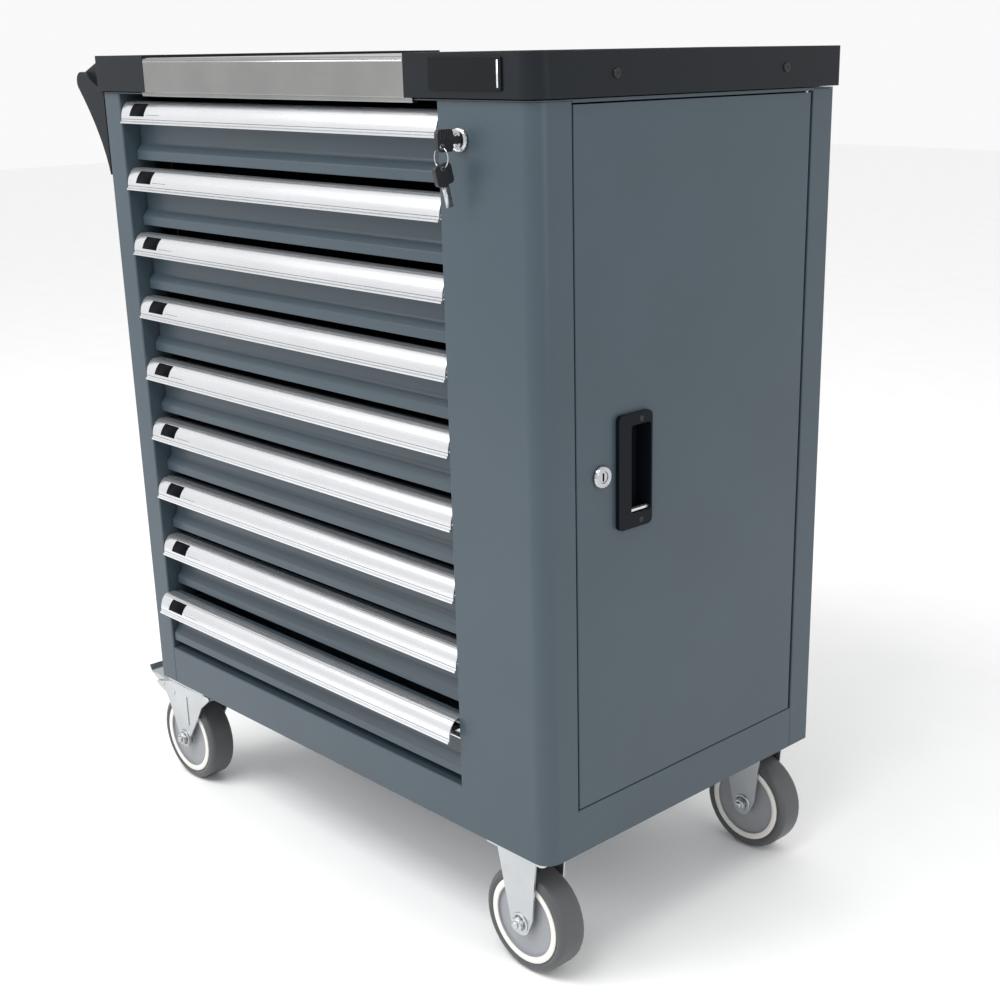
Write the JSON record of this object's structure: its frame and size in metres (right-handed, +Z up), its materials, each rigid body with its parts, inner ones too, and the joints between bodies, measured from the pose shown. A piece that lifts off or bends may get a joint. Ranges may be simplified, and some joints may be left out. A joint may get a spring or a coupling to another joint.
{
  "type": "rolling tool chest",
  "caption": "Steel tool cabinet on casters with a column of drawers, a side locker door, a stainless worktop between plastic end caps and a push handle.",
  "frame": {"origin": "on the floor, under the middle of the bounding box", "axes": "+Z up; the drawers open towards -Y, the locker door is on the +X side and the push handle on the -X side"},
  "size_m": [0.8514, 0.4993, 0.9892],
  "materials": {
    "powder_coat": "semi-gloss powder coat, blue grey",
    "stainless": "brushed stainless",
    "bright_aluminium": "bright anodised, fine brushed",
    "zinc_plate": "bright zinc plated",
    "galvanised": "galvanised slide steel",
    "black_plastic": "fine textured, satin",
    "key_plastic": "satin",
    "chrome": "polished",
    "chipboard": "raw chipboard",
    "wheel_plastic": "satin",
    "tyre_rubber": "matt grey thermoplastic rubber"
  },
  "bodies": {
    "cabinet": {"left_side_panel": "powder_coat", "front_right_column": "powder_coat", "back_panel": "powder_coat", "base_pan": "powder_coat", "roof_panel": "powder_coat", "centre_partition": "powder_coat", "left_slide_rack": "galvanised", "right_slide_rack": "galvanised", "worktop_sheet": "stainless", "worktop_board": "chipboard", "right_end_cap": "black_plastic", "left_end_cap": "black_plastic", "push_handle_grip": "black_plastic", "door_upper_pin": "zinc_plate", "door_lower_pin": "zinc_plate", "front_lock_barrel": "chrome", "rigid_front_bracket": "zinc_plate", "rigid_rear_bracket": "zinc_plate", "swivel_front_plate": "zinc_plate", "swivel_rear_plate": "zinc_plate"},
    "drawer_1": {"drawer_1_tray": "powder_coat", "drawer_1_pull": "bright_aluminium"},
    "drawer_2": {"drawer_2_tray": "powder_coat", "drawer_2_pull": "bright_aluminium"},
    "drawer_3": {"drawer_3_tray": "powder_coat", "drawer_3_pull": "bright_aluminium"},
    "drawer_4": {"drawer_4_tray": "powder_coat", "drawer_4_pull": "bright_aluminium"},
    "drawer_5": {"drawer_5_tray": "powder_coat", "drawer_5_pull": "bright_aluminium"},
    "drawer_6": {"drawer_6_tray": "powder_coat", "drawer_6_pull": "bright_aluminium"},
    "drawer_7": {"drawer_7_tray": "powder_coat", "drawer_7_pull": "bright_aluminium"},
    "drawer_8": {"drawer_8_tray": "powder_coat", "drawer_8_pull": "bright_aluminium"},
    "drawer_9": {"drawer_9_tray": "powder_coat", "drawer_9_pull": "bright_aluminium"},
    "door": {"side_door": "powder_coat", "door_pull_cup": "black_plastic", "door_lock_barrel": "chrome"},
    "door_lock": {"door_lock_plug": "chrome"},
    "front_lock": {"front_lock_plug": "chrome", "front_key": "key_plastic"},
    "key_bunch": {"key_ring": "chrome", "spare_key": "key_plastic"},
    "drawer_lock_bar": {"lock_bar": "galvanised"},
    "rigid_front_wheel": {"rigid_front_hub": "wheel_plastic", "rigid_front_tyre": "tyre_rubber"},
    "rigid_rear_wheel": {"rigid_rear_hub": "wheel_plastic", "rigid_rear_tyre": "tyre_rubber"},
    "swivel_front": {"swivel_front_fork": "zinc_plate"},
    "swivel_front_wheel": {"swivel_front_hub": "wheel_plastic", "swivel_front_tyre": "tyre_rubber"},
    "swivel_front_brake": {"swivel_front_pedal": "zinc_plate"},
    "swivel_rear": {"swivel_rear_fork": "zinc_plate"},
    "swivel_rear_wheel": {"swivel_rear_hub": "wheel_plastic", "swivel_rear_tyre": "tyre_rubber"},
    "swivel_rear_brake": {"swivel_rear_pedal": "zinc_plate"}
  },
  "joints": [
    {"name": "drawer_1_slide", "type": "slide", "parent": "cabinet", "child": "drawer_1", "axis": [0, -1, 0], "range_m": [0, 0.35]},
    {"name": "drawer_2_slide", "type": "slide", "parent": "cabinet", "child": "drawer_2", "axis": [0, -1, 0], "range_m": [0, 0.35]},
    {"name": "drawer_3_slide", "type": "slide", "parent": "cabinet", "child": "drawer_3", "axis": [0, -1, 0], "range_m": [0, 0.35]},
    {"name": "drawer_4_slide", "type": "slide", "parent": "cabinet", "child": "drawer_4", "axis": [0, -1, 0], "range_m": [0, 0.35]},
    {"name": "drawer_5_slide", "type": "slide", "parent": "cabinet", "child": "drawer_5", "axis": [0, -1, 0], "range_m": [0, 0.35]},
    {"name": "drawer_6_slide", "type": "slide", "parent": "cabinet", "child": "drawer_6", "axis": [0, -1, 0], "range_m": [0, 0.35]},
    {"name": "drawer_7_slide", "type": "slide", "parent": "cabinet", "child": "drawer_7", "axis": [0, -1, 0], "range_m": [0, 0.35]},
    {"name": "drawer_8_slide", "type": "slide", "parent": "cabinet", "child": "drawer_8", "axis": [0, -1, 0], "range_m": [0, 0.35]},
    {"name": "drawer_9_slide", "type": "slide", "parent": "cabinet", "child": "drawer_9", "axis": [0, -1, 0], "range_m": [-0.0135, 0.3365]},
    {"name": "side_door_hinge", "type": "hinge", "parent": "cabinet", "child": "door", "pos_m": [0.41424, 0.20242, 0.575], "axis": [0, 0, 1], "range_deg": [0, 100]},
    {"name": "door_lock_turn", "type": "hinge", "parent": "door", "child": "door_lock", "pos_m": [0.41924, -0.12898, 0.575], "axis": [1, 0, 0], "range_deg": [0, 90]},
    {"name": "front_lock_turn", "type": "hinge", "parent": "cabinet", "child": "front_lock", "pos_m": [0.31444, -0.21369, 0.909], "axis": [0, 1, 0], "range_deg": [0, 90]},
    {"name": "lock_bar_lift", "type": "slide", "parent": "cabinet", "child": "drawer_lock_bar", "axis": [0, 0, 1], "range_m": [0, 0.012]},
    {"name": "key_bunch_swing", "type": "hinge", "parent": "front_lock", "child": "key_bunch", "pos_m": [0.31444, -0.23819, 0.9034], "axis": [0, 1, 0], "range_deg": [-25, 25]},
    {"name": "rigid_front_roll", "type": "hinge", "parent": "cabinet", "child": "rigid_front_wheel", "pos_m": [0.36324, -0.18069, 0.0625], "axis": [0, 1, 0], "continuous": true},
    {"name": "rigid_rear_roll", "type": "hinge", "parent": "cabinet", "child": "rigid_rear_wheel", "pos_m": [0.36324, 0.21332, 0.0625], "axis": [0, 1, 0], "continuous": true},
    {"name": "swivel_front_turn", "type": "hinge", "parent": "cabinet", "child": "swivel_front", "pos_m": [-0.30475, -0.18069, 0.14], "axis": [0, 0, 1], "continuous": true},
    {"name": "swivel_front_roll", "type": "hinge", "parent": "swivel_front", "child": "swivel_front_wheel", "pos_m": [-0.33276, -0.18069, 0.0625], "axis": [0, 1, 0], "continuous": true},
    {"name": "brake_front_press", "type": "hinge", "parent": "swivel_front", "child": "swivel_front_brake", "pos_m": [-0.35675, -0.18069, 0.132], "axis": [0, 1, 0], "range_deg": [-12, 0]},
    {"name": "swivel_rear_turn", "type": "hinge", "parent": "cabinet", "child": "swivel_rear", "pos_m": [-0.30475, 0.21332, 0.14], "axis": [0, 0, 1], "continuous": true},
    {"name": "swivel_rear_roll", "type": "hinge", "parent": "swivel_rear", "child": "swivel_rear_wheel", "pos_m": [-0.33276, 0.21332, 0.0625], "axis": [0, 1, 0], "continuous": true},
    {"name": "brake_rear_press", "type": "hinge", "parent": "swivel_rear", "child": "swivel_rear_brake", "pos_m": [-0.35675, 0.21332, 0.132], "axis": [0, 1, 0], "range_deg": [-12, 0]}
  ],
  "couplings": [
    {"joint": "front_lock_turn", "follows": "lock_bar_lift", "rad_per_m": 130.89}
  ]
}
